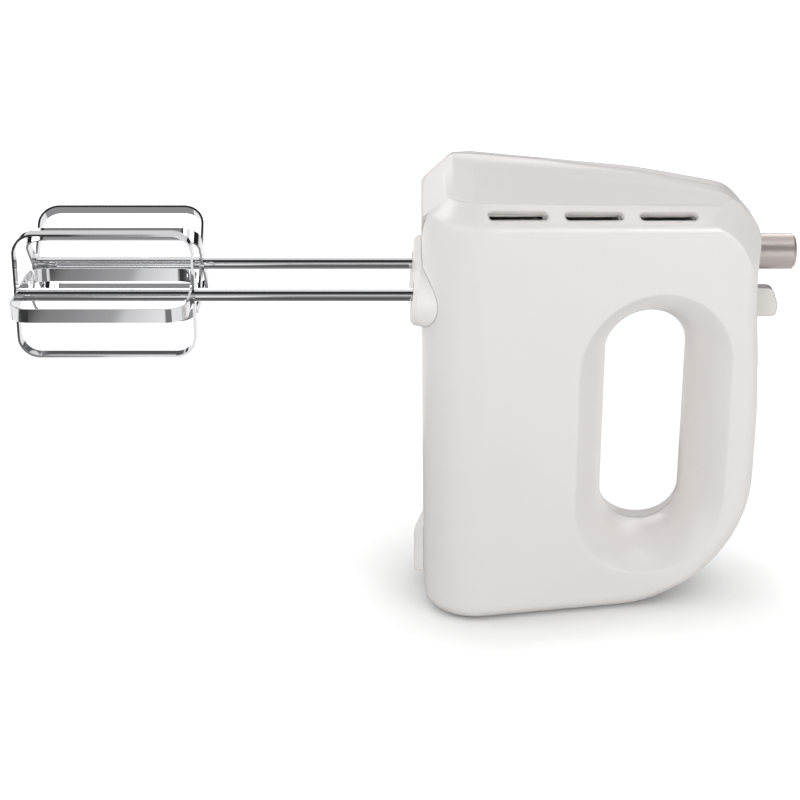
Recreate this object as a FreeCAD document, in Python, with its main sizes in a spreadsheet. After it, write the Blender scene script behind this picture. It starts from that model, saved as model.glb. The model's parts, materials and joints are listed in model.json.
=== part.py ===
"""Hand mixer with two wire beaters, standing on its heel.

Frame: +Z up, origin on the heel at the foot of the mid-plane, +X towards the handle,
beaters along -X, the two housing halves meet on Y = 0. Millimetres throughout.
"""
import FreeCAD, Part
import math
import os

V = FreeCAD.Vector
doc = FreeCAD.newDocument("HandMixer")

# --------------------------------------------------------------------------------------
# Driving dimensions
# --------------------------------------------------------------------------------------

SIZES = (
    # housing envelope
    ("wall", 2.4),
    ("front_x", -59.1),            # underside face, where the beaters leave
    ("front_foot_x", -57.0),       # the same face at the heel
    ("back_x", 85.9),              # back of the handle
    ("half_width", 42.0),          # half width where the taper starts
    ("taper_start_x", -36.0),
    ("taper", 0.188),              # half width lost per millimetre towards the handle
    ("front_corner", 22.0),
    ("rim_round", 6.5),            # round where the side panels meet heel and back
    ("crease_round", 6.0),
    # side view
    ("top_front_z", 199.0),
    ("top_slope", 0.118),
    ("rear_slope", 0.2),           # the top falls faster behind the finger hole's middle
    ("rear_slope_x", 30.0),
    ("nose_low_z", 188.0),         # slanted ridge of the nose, where it leaves the underside face
    ("nose_slope", 0.915),
    ("nose_low_round", 15.0),
    ("nose_high_round", 16.0),
    ("brow_round", 20.0),
    ("heel_round", 58.0),
    ("back_lean_z", 92.0),         # above this height the back leans forward
    ("waist_x", 82.2),             # hollow of the back where the web of the hand sits
    ("waist_z", 140.0),
    ("tail_x", 84.0),              # the back overhangs again above the button
    ("tail_z", 168.0),
    # nose facets, measured at taper_start_x
    ("panel_top_z", 178.7),
    ("panel_slope", 0.049),
    ("ledge_in", 8.0),
    ("ledge_up", 8.3),
    ("ledge_fall", 0.018),         # the ledge gets lower towards the handle
    ("crest_half", 14.5),
    ("crest_z", 194.2),
    ("crest_slope", 0.088),
    ("crown", 4.0),
    ("brow_x", 52.0),              # centre of the panel's upper back corner
    ("brow_z", 147.0),
    ("brow_panel_round", 28.0),
    ("brow_spread", 1.1),
    # finger hole
    ("hole_x", 38.1),
    ("hole_z", 81.0),
    ("hole_half_x", 17.4),
    ("hole_half_z", 50.3),
    ("dish_x", 40.1),
    ("dish_half_x", 33.4),
    ("dish_half_z", 64.3),
    # parting and screws
    ("seam", 0.06),                # each half stops this far short of the mid-plane
    ("boss_r", 4.2),
    ("screw_r", 1.5),
    ("screw_head_r", 2.9),
    # vents on the ledge
    ("vent_x", 10.9),              # middle slot
    ("vent_pitch", 31.3),
    ("vent_length", 25.0),
    ("vent_height", 4.0),
    ("vent_share", 0.45),          # how far up the ledge the slots' middle line lies
    ("vent_gap", 1.9),             # height of the narrow slot in the liner
    ("vent_gap_rise", 0.9),        # the narrow slot sits above the middle of the wide one
    # beater drive
    ("axle_z", 143.5),
    ("axle_y", 21.5),
    ("motor_x", -30.0),
    ("guard_x", -62.8),            # face of the socket guard, at the axles' height
    ("guard_r", 12.5),             # round end of its face, centred on the axle
    ("guard_draft", 6.0),
    ("guard_lean", 6.0),           # the face looks up a little
    ("beater_r", 2.75),
    ("fit", 0.05),                 # radial running clearance
    ("spindle_r", 5.0),
    ("tail_r", 4.0),
    ("wheel_r", 15.2),
    ("wheel_width", 6.0),
    ("worm_r", 6.2),
    ("teeth", 24),
    # beaters
    ("tip_x", -228.3),
    ("cage_length", 74.9),
    ("cage_half", 27.0),
    ("cage_corner", 9.0),
    ("strip_width", 5.7),
    ("strip", 1.0),
    ("far_phase", 45.0),
    # cord inlet
    ("inlet_half", 9.0),
    ("cord_z", 17.0),
    ("cord_r", 3.6),
    # eject button and speed slider
    ("button_r", 7.6),
    ("button_z", 155.7),
    ("button_x", 99.4),
    ("slider_z", 134.0),
    ("slider_travel", 19.0),
    ("track_rise", 1.0),
    ("track_half", 13.0),
    ("lever_half", 2.6),
    # motor
    ("stack_low", 56.0),
    ("stack_height", 28.0),
    ("armature_r", 14.0),
    ("commutator_r", 10.0),
    ("shaft_r", 3.0),
    ("fan_r", 24.0),
)


def make_sheet():
    """Spreadsheet with one aliased cell per driving dimension."""
    page = doc.addObject("Spreadsheet::Sheet", "sizes")
    for row, (alias, value) in enumerate(SIZES, start=1):
        page.set("A%d" % row, alias)
        page.set("B%d" % row, str(value))
        page.setAlias("B%d" % row, alias)
    doc.recompute()
    return page


sheet = make_sheet()


def mm(alias):
    """Value of one driving dimension."""
    return float(sheet.get(alias))


# --------------------------------------------------------------------------------------
# Drawing helpers
# --------------------------------------------------------------------------------------

def corner_arc(before, corner, after, radius):
    """Tangent arc that rounds one corner of a polygon, as (start, middle, end)."""
    a = (before - corner).normalize()
    b = (after - corner).normalize()
    half = a.getAngle(b) / 2.0
    reach = radius / math.tan(half)
    bisector = (a + b).normalize()
    centre = corner + bisector * (radius / math.sin(half))
    return corner + a * reach, centre - bisector * radius, corner + b * reach


def rounded(corners):
    """Lines and arcs of a closed polygon given as (u, v, corner radius)."""
    points = [V(u, v, 0) for u, v, _ in corners]
    count = len(points)
    arcs = []
    for i, (_, _, radius) in enumerate(corners):
        if radius > 0:
            arcs.append(corner_arc(points[i - 1], points[i], points[(i + 1) % count], radius))
        else:
            arcs.append((points[i], None, points[i]))
    edges = []
    for i, (start, middle, end) in enumerate(arcs):
        if middle is not None:
            edges.append(Part.Arc(start, middle, end))
        follow = arcs[(i + 1) % count][0]
        if (follow - end).Length > 1e-6:
            edges.append(Part.LineSegment(end, follow))
    return edges


UPRIGHT = FreeCAD.Rotation(V(1, 0, 0), 90)      # sketch v becomes Z, its normal becomes -Y
ACROSS = FreeCAD.Rotation(V(0, 0, 1), 90).multiply(UPRIGHT)   # u becomes Y, v becomes Z, normal +X


def sketch(name, edges, place=V(0, 0, 0), turn=FreeCAD.Rotation()):
    """Sketch of finished edges in a plane of the document."""
    page = doc.addObject("Sketcher::SketchObject", name)
    page.Placement = FreeCAD.Placement(place, turn)
    page.addGeometry(edges, False)
    return page


def extrusion(name, base, forward, backward=0.0):
    """Solid extruded from a sketch along its normal."""
    solid = doc.addObject("Part::Extrusion", name)
    solid.Base = base
    solid.DirMode = "Normal"
    solid.LengthFwd = forward
    solid.LengthRev = backward
    solid.Solid = True
    return solid


def loft(name, sections, ruled=True):
    solid = doc.addObject("Part::Loft", name)
    solid.Sections = sections
    solid.Solid = True
    solid.Ruled = ruled
    return solid


def boolean(kind, name, *members):
    """Part boolean: MultiFuse or MultiCommon of all members, or Cut of the first two."""
    solid = doc.addObject("Part::" + kind, name)
    if kind == "Cut":
        solid.Base, solid.Tool = members
    else:
        solid.Shapes = list(members)
    return solid


# --------------------------------------------------------------------------------------
# Housing form: the outside and, one wall thickness smaller, the hollow inside
# --------------------------------------------------------------------------------------

def rear_fall(x):
    """Extra fall of the top behind the station where it gets steeper."""
    return max(0.0, (mm("rear_slope") - mm("top_slope")) * (x - mm("rear_slope_x")))


def half_width(x):
    """Half width of the housing at the panel, at one station along X."""
    return mm("half_width") - mm("taper") * (x - mm("taper_start_x"))


def plan_outline(inset, front_x, side_in=0.0):
    """Plan view: a flat front, two large front corners and side panels that taper to the back."""
    lean = math.sqrt(1 + mm("taper") ** 2)
    left = front_x + inset
    right = mm("back_x") + 20.0
    y_left = half_width(left) - inset * lean - side_in
    y_right = half_width(right) - inset * lean - side_in
    front = mm("front_corner") - inset - side_in
    left += side_in
    return rounded([(left, -y_left, front), (right, -y_right, 0), (right, y_right, 0), (left, y_left, front)])


def back_lean():
    """Run per rise of the back between the palm and the waist."""
    return (mm("back_x") - mm("waist_x")) / (mm("waist_z") - mm("back_lean_z"))


def side_outline(inset):
    """Side view: flat heel, big sweep into the handle, waisted back, top that falls to the tail."""
    front = mm("front_x") + inset
    back = mm("back_x") - inset
    waist = mm("waist_x") - inset
    tail = mm("tail_x") - inset
    top = mm("top_front_z") - inset
    steep_x = mm("rear_slope_x")

    def ridge(x):
        return top - mm("top_slope") * (x - mm("taper_start_x")) - rear_fall(x)

    def slant(x):
        drop = inset * math.hypot(1.0, mm("nose_slope"))
        return mm("nose_low_z") + mm("nose_slope") * (x - mm("front_x")) - drop

    gap = ridge(front) - slant(front)
    nose_x = front + gap / (mm("nose_slope") + mm("top_slope"))
    return rounded([(front - 3.0, inset, 0), (back, inset, mm("heel_round") - inset),
                    (back, mm("back_lean_z"), 250.0), (waist, mm("waist_z"), 90.0),
                    (waist, mm("waist_z") + 16.0, 40.0), (tail, mm("tail_z"), 13.0 - inset),
                    (tail - 14.0, ridge(tail - 14.0), mm("brow_round") - inset),
                    (steep_x, ridge(steep_x), 150.0),
                    (nose_x, ridge(nose_x), mm("nose_high_round") - inset),
                    (front, slant(front), mm("nose_low_round") - inset),
                    (front, 170.0, 0), (front - 3.0, 169.0, 0)])


def crease_z(x):
    """Height of the crease where the side panel ends, along X."""
    return mm("panel_top_z") - mm("panel_slope") * (x - mm("taper_start_x"))


def ledge_rise(x):
    """Height of the ledge above the crease, along X."""
    return mm("ledge_up") - mm("ledge_fall") * (x - mm("taper_start_x"))


def body_block(tag, inset):
    """Straight sides up to the crease, then a ledge that leans in all round."""
    lean = FreeCAD.Rotation(V(0, 1, 0), math.degrees(math.atan(mm("panel_slope"))))
    lean_more = FreeCAD.Rotation(V(0, 1, 0), math.degrees(math.atan(mm("panel_slope") + mm("ledge_fall"))))
    foot = sketch(tag + "_foot", plan_outline(inset, mm("front_foot_x")), V(0, 0, -10.0))
    crease = sketch(tag + "_crease", plan_outline(inset, mm("front_x")), V(0, 0, crease_z(0) - inset), lean)
    brow = sketch(tag + "_brow", plan_outline(inset, mm("front_x"), mm("ledge_in")),
                  V(0, 0, crease_z(0) + ledge_rise(0) - inset), lean_more)
    return loft(tag + "_block", [foot, crease, brow])


def hood_section(x, half_base, base_z, crest, inset):
    """Cross-section of the hood: sides up to the base line, sloping flanks, a crowned top."""
    yb = half_base - inset
    zb = base_z - inset
    yc = crest[0] - inset * 0.5
    zc = crest[1] - inset
    zr = zc + crest[2]
    low = 178.6
    foot = yb - 7.0
    corners = [V(foot, low - 8.6, 0), V(yb, low, 0), V(yb, zb, 0), V(yc, zc, 0)]
    mirrored = [V(-p.x, p.y, 0) for p in reversed(corners)]
    outline = [Part.LineSegment(a, b) for a, b in zip(corners, corners[1:])]
    outline.append(Part.Arc(corners[-1], V(0, zr, 0), mirrored[0]))
    outline += [Part.LineSegment(a, b) for a, b in zip(mirrored, mirrored[1:])]
    outline.append(Part.LineSegment(mirrored[-1], corners[0]))
    return outline


def crest_at(x):
    """Half width, height and crown of the hood's crest at one station behind the nose."""
    run = x - mm("taper_start_x")
    return (mm("crest_half") - 0.05 * run, mm("crest_z") - mm("crest_slope") * run - 0.5 * rear_fall(x),
            mm("crown"))


def hood(tag, inset):
    """Raised hood: its crest converges on the nose and narrows again towards the handle."""
    front = mm("front_x")
    stations = []
    for x in (mm("taper_start_x") - 2.0, mm("rear_slope_x"), 110.0):
        stations.append((x, half_width(x) - mm("ledge_in"), crease_z(x) + ledge_rise(x), crest_at(x)))
    brow_z = stations[0][2] + 0.4
    stations.insert(0, (front + 13.0, 29.6, brow_z, (11.6, 193.7, 4.8)))
    stations.insert(0, (front + 8.2, 27.2, brow_z, (8.0, 192.8, 3.8)))
    stations.insert(0, (front - 5.0, 28.5, brow_z, (4.0, 190.8, 3.8)))
    sections = [sketch("%s_hood_%d" % (tag, i), hood_section(x, half, z, crest, inset), V(x, 0, 0), ACROSS)
                for i, (x, half, z, crest) in enumerate(stations)]
    return loft(tag + "_hood", sections)


def facing(normal, point):
    """Placement whose local Z is a given outward normal, at a point."""
    return FreeCAD.Placement(point, FreeCAD.Rotation(V(0, 0, 1), normal))


def front_facet(tag, side, inset):
    """Block that takes off one front corner of the nose in a flat facet."""
    p1 = V(mm("front_x") + 2.0, side * 29.0, 180.0)
    p2 = V(mm("front_x") + 9.8, side * 27.0, 187.8)
    p3 = V(mm("front_x") + 8.2, side * 8.0, 192.65)
    normal = (p2 - p1).cross(p3 - p1).normalize()
    if normal.z < 0:
        normal = normal * -1
    block = doc.addObject("Part::Box", tag)
    block.Length = 120
    block.Width = 120
    block.Height = 40
    base = facing(normal, p1 - normal * inset)
    block.Placement = base.multiply(FreeCAD.Placement(V(-60, -60, 0), FreeCAD.Rotation()))
    return block


def brow_cutter(tag, side, inset):
    """Everything outside a cone that rounds the panel's upper back corner."""
    lean = math.sqrt(1 + mm("taper") ** 2)
    normal = V(mm("taper") / lean, side / lean, 0)
    x, z = mm("brow_x"), mm("brow_z")
    foot = V(x, side * half_width(x), z)
    depth = 40.0
    cone = doc.addObject("Part::Cone", tag + "_cone")
    cone.Radius1 = mm("brow_panel_round") + mm("brow_spread") * depth - inset
    cone.Radius2 = mm("brow_panel_round") - mm("brow_spread") * 20.0 - inset
    cone.Height = depth + 20.0
    cone.Placement = facing(normal, foot - normal * depth)
    block = doc.addObject("Part::Box", tag + "_box")
    block.Length = 80
    block.Width = 45
    block.Height = 80
    block.Placement = FreeCAD.Placement(V(x, 0 if side > 0 else -45, z), FreeCAD.Rotation())
    return boolean("Cut", tag, block, cone)


def sharp_edges(shape, wanted):
    """Numbers of the edges whose faces meet at more than 15 degrees, where wanted(midpoint) holds."""
    numbers = []
    for number, edge in enumerate(shape.Edges, start=1):
        middle = edge.valueAt((edge.FirstParameter + edge.LastParameter) / 2)
        if not wanted(middle):
            continue
        faces = shape.ancestorsOfType(edge, Part.Face)
        if len(faces) != 2:
            continue
        first, second = (face.normalAt(*face.Surface.parameter(middle)) for face in faces)
        if math.degrees(first.getAngle(second)) > 15:
            numbers.append(number)
    return numbers


def fillet(name, base, radius_alias, wanted):
    """Rounds the sharp edges of a finished object that wanted() picks."""
    doc.recompute()
    radius = mm(radius_alias)
    solid = doc.addObject("Part::Fillet", name)
    solid.Base = base
    solid.Edges = [(number, radius, radius) for number in sharp_edges(base.Shape, wanted)]
    return solid


def housing_form(tag, inset):
    """Block and hood, trimmed to the side view and to the facets of the nose."""
    side = extrusion(tag + "_side", sketch(tag + "_side_sketch", side_outline(inset), V(0, 0, 0), UPRIGHT),
                     70.0, 70.0)
    block = body_block(tag, inset)
    if inset == 0:
        block = fillet(tag + "_creased", block, "crease_round", lambda p: abs(p.z - crease_z(p.x)) < 1)
    low = boolean("MultiCommon", tag + "_low", block, side)
    if inset == 0:
        low = fillet(tag + "_rimmed", low, "rim_round",
                     lambda p: p.z < crease_z(p.x) - 4 and (abs(p.y) > 12 or p.z < 1))
    high = boolean("MultiCommon", tag + "_high", hood(tag, inset), side)
    rough = boolean("MultiFuse", tag + "_rough", low, high)
    cutters = []
    for name, direction in (("near", -1), ("far", 1)):
        cutters.append(front_facet("%s_facet_%s" % (tag, name), direction, inset))
        cutters.append(brow_cutter("%s_brow_%s" % (tag, name), direction, inset))
    cutter = boolean("MultiFuse", tag + "_cutters", *cutters)
    return boolean("Cut", tag + "_form", rough, cutter)


def stadium(half_u, half_v):
    """Slot outline with full round ends, its long axis along v, centred on the sketch."""
    run = half_v - half_u
    return [Part.Arc(V(half_u, run, 0), V(0, half_v, 0), V(-half_u, run, 0)),
            Part.LineSegment(V(-half_u, run, 0), V(-half_u, -run, 0)),
            Part.Arc(V(-half_u, -run, 0), V(0, -half_v, 0), V(half_u, -run, 0)),
            Part.LineSegment(V(half_u, -run, 0), V(half_u, run, 0))]


def flare(depth):
    """Share of the dish's widening reached at a share of the depth: a convex arc."""
    bend = 0.656
    return (1 - math.sqrt(1 - bend * depth ** 2)) / (1 - math.sqrt(1 - bend))


def finger_tunnel(tag, grow):
    """Finger hole: a stadium throat that flares on both sides into a dish."""
    sections = []
    tilt = math.degrees(math.atan(mm("taper")))
    reach = half_width(mm("dish_x"))
    for i, depth in enumerate((-1.2, -0.8, -0.4, 0.0, 0.4, 0.8, 1.2)):
        share = flare(depth)
        half_u = mm("hole_half_x") + (mm("dish_half_x") - mm("hole_half_x")) * share + grow
        half_v = mm("hole_half_z") + (mm("dish_half_z") - mm("hole_half_z")) * share + grow
        centre = mm("hole_x") + (mm("dish_x") - mm("hole_x")) * share
        turn = FreeCAD.Rotation(V(0, 0, 1), -tilt * depth).multiply(UPRIGHT)
        sections.append(sketch("%s_section_%d" % (tag, i), stadium(half_u, half_v),
                               V(centre, reach * depth, mm("hole_z")), turn))
    return loft(tag, sections, ruled=False)


# --------------------------------------------------------------------------------------
# Small helpers for turned and box-like pieces
# --------------------------------------------------------------------------------------

ALONG_X = FreeCAD.Rotation(V(0, 1, 0), 90)      # a cylinder's axis becomes +X
ALONG_Y = FreeCAD.Rotation(V(1, 0, 0), -90)     # a cylinder's axis becomes +Y
UP = FreeCAD.Rotation()


def cylinder(name, radius, height, start, turn=UP):
    """Cylinder; radius and height are expressions over the sheet."""
    solid = doc.addObject("Part::Cylinder", name)
    solid.setExpression("Radius", radius)
    solid.setExpression("Height", height)
    solid.Placement = FreeCAD.Placement(start, turn)
    return solid


def box(name, low, high):
    """Box between two corners."""
    solid = doc.addObject("Part::Box", name)
    solid.Length, solid.Width, solid.Height = high - low
    solid.Placement.Base = low
    return solid


def turned(name, profile, place, turn=UP):
    """Body revolved from a half profile of (radius, height) points about its own Z axis."""
    body = doc.addObject("PartDesign::Body", name)
    page = body.newObject("Sketcher::SketchObject", name + "_profile")
    page.AttachmentSupport = (origin_plane(body, "XZ_Plane"), [""])
    page.MapMode = "FlatFace"
    page.addGeometry(rounded([(r, z, 0) for r, z in profile]), False)
    solid = body.newObject("PartDesign::Revolution", name + "_turned")
    solid.Profile = page
    solid.ReferenceAxis = (page, ["V_Axis"])
    solid.Angle = 360.0
    body.Placement = FreeCAD.Placement(place, turn)
    return body


def origin_plane(body, role):
    return [item for item in body.Origin.OriginFeatures if item.Role == role][0]


def padded(name, edges, length, place, turn=UP):
    """Body padded from finished edges drawn in its own XY plane; the length is an expression."""
    body = doc.addObject("PartDesign::Body", name)
    page = body.newObject("Sketcher::SketchObject", name + "_outline")
    page.AttachmentSupport = (origin_plane(body, "XY_Plane"), [""])
    page.MapMode = "FlatFace"
    page.addGeometry(edges, False)
    solid = body.newObject("PartDesign::Pad", name + "_pad")
    solid.Profile = page
    solid.setExpression("Length", length)
    body.Placement = FreeCAD.Placement(place, turn)
    return body


def notch_ring(body, edges, count):
    """Cuts one outline through a padded body and repeats it about the body's Z axis."""
    name = body.Name
    page = body.newObject("Sketcher::SketchObject", name + "_notch")
    page.AttachmentSupport = (origin_plane(body, "XY_Plane"), [""])
    page.MapMode = "FlatFace"
    page.addGeometry(edges, False)
    cut = body.newObject("PartDesign::Pocket", name + "_cut")
    cut.Profile = page
    cut.Type = 1
    cut.Midplane = True
    ring = body.newObject("PartDesign::PolarPattern", name + "_ring")
    ring.Originals = [cut]
    ring.Axis = (page, ["N_Axis"])
    ring.Angle = 360
    ring.Occurrences = count
    body.Tip = ring
    return body


def circle(radius):
    return Part.Circle(V(0, 0, 0), V(0, 0, 1), radius)


def rectangle(u0, v0, u1, v1, corner=0.0):
    return rounded([(u0, v0, corner), (u1, v0, corner), (u1, v1, corner), (u0, v1, corner)])


# --------------------------------------------------------------------------------------
# Housing halves
# --------------------------------------------------------------------------------------

SCREWS = ((-38.0, 11.0), (10.0, 12.0), (71.0, 33.0), (58.0, 168.0), (-14.0, 171.0))
SIDES = (("near", -1), ("far", 1))


def ledge_frame(side, x):
    """Placement on the slots' line of the ledge: u along the nose, v up the slope, normal outward."""
    lean = math.sqrt(1 + mm("taper") ** 2)
    along = V(1.0, -side * mm("taper"), -mm("panel_slope")).normalize()
    rise = V(0, -side * mm("ledge_in"), ledge_rise(x))
    up = (rise - along * rise.dot(along)).normalize()
    out = along.cross(up) * -side
    share = mm("vent_share")
    half = half_width(x) - mm("ledge_in") * lean * share
    centre = V(x, side * half, crease_z(x) + ledge_rise(x) * share)
    right = up.cross(out)
    turn = FreeCAD.Rotation(right, up, out, "ZXY")
    return FreeCAD.Placement(centre, turn)


def vent_slots(tag, side, height, depth, grow=0.0, rise=0.0):
    """Three slots in a row on one ledge."""
    cutters = []
    for i in (-1, 0, 1):
        x = mm("vent_x") + i * mm("vent_pitch")
        place = ledge_frame(side, x)
        half_u = mm("vent_length") / 2 + grow
        edges = stadium(height / 2, half_u)
        page = sketch("%s_slot_%d" % (tag, i + 1), edges, place.multVec(V(0, rise, 0)),
                      place.Rotation.multiply(FreeCAD.Rotation(V(0, 0, 1), 90)))
        cutters.append(extrusion("%s_cut_%d" % (tag, i + 1), page, depth, depth))
    return boolean("MultiFuse", tag, *cutters)


def motor_ribs(inner):
    """Ribs across the motor bay: they carry the stator, the bearing plates and the gearbox."""
    slabs = []
    for i, (z, depth) in enumerate(((25.0, 3.0), (60.0, 2.0), (78.0, 2.0), (109.0, 3.0), (121.0, 3.0))):
        slabs.append(box("rib_slab_%d" % i, V(-70, -60, z), V(2, 60, z + depth)))
    slab = boolean("MultiFuse", "rib_slabs", *slabs)
    ribs = boolean("MultiCommon", "ribs_full", slab, inner)
    clear = [box("rib_clear_plate", V(-53, -27, 20), V(-7, 27, 32)),
             box("rib_clear_stator", V(-54.5, -27, 55), V(-5.5, 27, 85)),
             box("rib_clear_fan", V(-56.5, -27.0, 85), V(-3.5, 27.0, 107)),
             box("rib_clear_top", V(-53, -27, 106), V(-7, 27, 114)),
             box("rib_clear_gear", V(-52, -29, 119), V(-15, 29, 140))]
    return boolean("Cut", "ribs", ribs, boolean("MultiFuse", "rib_clear", *clear))


def screw_bosses(inner):
    """Posts for the housing screws, from wall to wall."""
    posts = [cylinder("post_%d" % i, "sizes.boss_r", "100", V(x, -50, z), ALONG_Y)
             for i, (x, z) in enumerate(SCREWS)]
    return boolean("MultiCommon", "bosses", boolean("MultiFuse", "posts", *posts), inner)


def housing_openings():
    """Everything that passes through the housing wall at the mid-plane or the sockets."""
    cuts = []
    for name, side in SIDES:
        cuts.append(cylinder("socket_hole_" + name, "sizes.spindle_r + 0.6", "20",
                             V(-66, side * mm("axle_y"), mm("axle_z")), ALONG_X))
        cuts.append(vent_slots("vents_" + name, side, mm("vent_height"), 6.0))
    cuts.append(cylinder("button_bore", "sizes.button_r + sizes.fit", "30", V(76, 0, mm("button_z")), ALONG_X))
    cuts.append(cylinder("cord_bore", "sizes.cord_r", "20", V(-66, 0, mm("cord_z")), ALONG_X))
    low = mm("slider_z") - mm("slider_travel") - 4.5
    cuts.append(box("slider_slot", V(76, -2.3, low), V(92, 2.3, mm("slider_z") + 4.5)))
    return boolean("MultiFuse", "housing_openings", *cuts)


def housing_halves():
    """Hollow form with ribs and screw bosses, cut in two on the mid-plane."""
    outer = housing_form("outer", 0.0)
    inner = housing_form("inner", mm("wall"))
    tunnel = finger_tunnel("tunnel", 0.0)
    liner = finger_tunnel("tunnel_wall", mm("wall"))
    hollow = boolean("Cut", "hollow", inner, liner)
    ribs = motor_ribs(hollow)
    bosses = screw_bosses(hollow)
    skin = boolean("Cut", "skin", boolean("Cut", "open_form", outer, tunnel), hollow)
    shell = boolean("MultiFuse", "ribbed", skin, ribs, bosses)
    shell = boolean("Cut", "pierced", shell, housing_openings())
    halves = []
    for name, side in SIDES:
        low = V(-90, -60, -20) if side < 0 else V(-90, mm("seam"), -20)
        high = V(120, -mm("seam"), 230) if side < 0 else V(120, 60, 230)
        room = box("room_" + name, low, high)
        half = boolean("MultiCommon", "half_" + name, shell, room)
        drills = []
        for i, (x, z) in enumerate(SCREWS):
            radius = "sizes.screw_r" if side < 0 else "sizes.screw_r + 0.2"
            reach = "14" if side < 0 else "60"
            start = V(x, -14, z) if side < 0 else V(x, 0, z)
            drills.append(cylinder("drill_%s_%d" % (name, i), radius, reach, start, ALONG_Y))
            if side > 0:
                depth = half_width(x) - 7.0
                drills.append(cylinder("sink_%d" % i, "sizes.screw_head_r + 0.2", "40",
                                       V(x, depth, z), ALONG_Y))
        halves.append(boolean("Cut", "housing_" + name, half, boolean("MultiFuse", "drills_" + name, *drills)))
    return outer, halves


def screws():
    """Five screws that hold the halves together, heads sunk in the far half."""
    members = []
    for i, (x, z) in enumerate(SCREWS):
        seat = half_width(x) - 7.0
        shank = cylinder("shank_%d" % i, "sizes.screw_r - 0.02", "%.3f" % (seat + 12.0), V(x, -12, z), ALONG_Y)
        head = cylinder("head_%d" % i, "sizes.screw_head_r", "2.2", V(x, seat, z), ALONG_Y)
        slot = box("head_slot_%d" % i, V(x - 2.2, seat + 1.4, z - 0.4), V(x + 2.2, seat + 3, z + 0.4))
        members.append(boolean("Cut", "screw_%d" % i, boolean("MultiFuse", "blank_%d" % i, shank, head), slot))
    group = doc.addObject("Part::Compound", "housing_screws")
    group.Links = members
    return group


def vent_liner(name, side, inner):
    """Strip behind one ledge with a narrow slot under each vent."""
    place = ledge_frame(side, mm("vent_x"))
    page = sketch(name + "_strip", rectangle(-48.5, -3.6, 48.5, 3.6, 2.0), place.Base, place.Rotation)
    strip = extrusion(name + "_blank", page, 0.0, 3.9)
    seated = boolean("MultiCommon", name + "_seated", strip, inner)
    gaps = vent_slots(name + "_gaps", side, mm("vent_gap"), 8.0, -1.2, mm("vent_gap_rise"))
    return boolean("Cut", name, seated, gaps)


# --------------------------------------------------------------------------------------
# Front fittings
# --------------------------------------------------------------------------------------

def socket_guard(outer):
    """Oblong boss round both beater sockets, its foot shaped to the housing."""
    turn = FreeCAD.Rotation(V(0, 1, 0), 90 + mm("guard_lean"))
    inward = turn.multVec(V(0, 0, 1))
    centre = V(mm("guard_x"), 0, mm("axle_z"))
    radius = mm("guard_r")
    page = sketch("guard_face", stadium(radius, mm("axle_y") + radius), centre, turn)
    block = extrusion("guard_block", page, 18.0)
    block.TaperAngle = mm("guard_draft")
    rim = doc.addObject("Part::Chamfer", "guard_rim")
    doc.recompute()
    rim.Base = block
    rim.Edges = [(n, 1.6, 1.6) for n in sharp_edges(block.Shape, lambda p: abs((p - centre).dot(inward)) < 0.1)]
    bores = [cylinder("guard_bore_" + name, "sizes.spindle_r + 0.3", "20",
                      V(-66, side * mm("axle_y"), mm("axle_z")), ALONG_X) for name, side in SIDES]
    trimmed = boolean("Cut", "guard_trimmed", rim, boolean("MultiFuse", "guard_bores", *bores))
    return boolean("Cut", "socket_guard", trimmed, outer)


def cord_inlet(outer):
    """Stubby boss near the heel with the bore that the cord would enter by."""
    side = rounded([(-61.7, 8.6, 1.5), (-45.0, 8.6, 0), (-45.0, 31.5, 0), (-57.0, 31.5, 0), (-61.6, 21.0, 14.0)])
    half = mm("inlet_half")
    block = extrusion("inlet_block", sketch("inlet_side", side, V(0, 0, 0), UPRIGHT), half, half)
    bore = cylinder("inlet_bore", "sizes.cord_r", "30", V(-66, 0, mm("cord_z")), ALONG_X)
    return boolean("Cut", "cord_inlet", boolean("Cut", "inlet_open", block, bore), outer)


# --------------------------------------------------------------------------------------
# Beaters: a round shaft through two crossed loops of flat strip
# --------------------------------------------------------------------------------------

def wire_loop(name, side, phase, step):
    """Rounded rectangle of flat strip; one loop sits a strip thickness inside the other."""
    front = mm("tip_x") + step
    back = mm("tip_x") + mm("cage_length") - step
    half = mm("cage_half")
    thick = mm("strip")
    middle = (front + back) / 2
    length = (back - front) / 2
    outside = rectangle(-length, -half, length, half, mm("cage_corner"))
    inside = rectangle(-length + thick, -half + thick, length - thick, half - thick, mm("cage_corner") - thick)
    turn = FreeCAD.Rotation(V(1, 0, 0), 90 + phase)
    place = V(middle, side * mm("axle_y"), mm("axle_z"))
    ring = padded(name + "_strip", outside + inside, "sizes.strip_width", place, turn)
    doc.getObject(name + "_strip_pad").Midplane = True
    eyes = [cylinder("%s_eye_%d" % (name, i), "sizes.beater_r + 1.4", "sizes.strip",
                     V(x, place.y, place.z), ALONG_X) for i, x in enumerate((front, back - thick))]
    hole = cylinder(name + "_hole", "sizes.beater_r", "200", V(mm("tip_x") - 20, place.y, place.z), ALONG_X)
    return boolean("Cut", name, boolean("MultiFuse", name + "_eyed", ring, *eyes), hole)


def beater_shaft(name, side):
    """Shaft from the rivet head at the tip to the drive end inside the spindle."""
    r = mm("beater_r")
    end = -34.0 - mm("tip_x")
    profile = [(0, -0.5), (r - 1.0, -0.5), (r, 0.2), (r, end - 1.0), (r - 1.0, end), (0, end)]
    return turned(name, profile, V(mm("tip_x"), side * mm("axle_y"), mm("axle_z")), ALONG_X)


def beaters():
    made = []
    for name, side in SIDES:
        phase = 0.0 if side < 0 else mm("far_phase")
        made.append(beater_shaft("beater_shaft_" + name, side))
        made.append(wire_loop("beater_loop_a_" + name, side, phase, 0.0))
        made.append(wire_loop("beater_loop_b_" + name, side, phase + 90, mm("strip")))
    return made


# --------------------------------------------------------------------------------------
# Gearbox
# --------------------------------------------------------------------------------------

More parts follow.
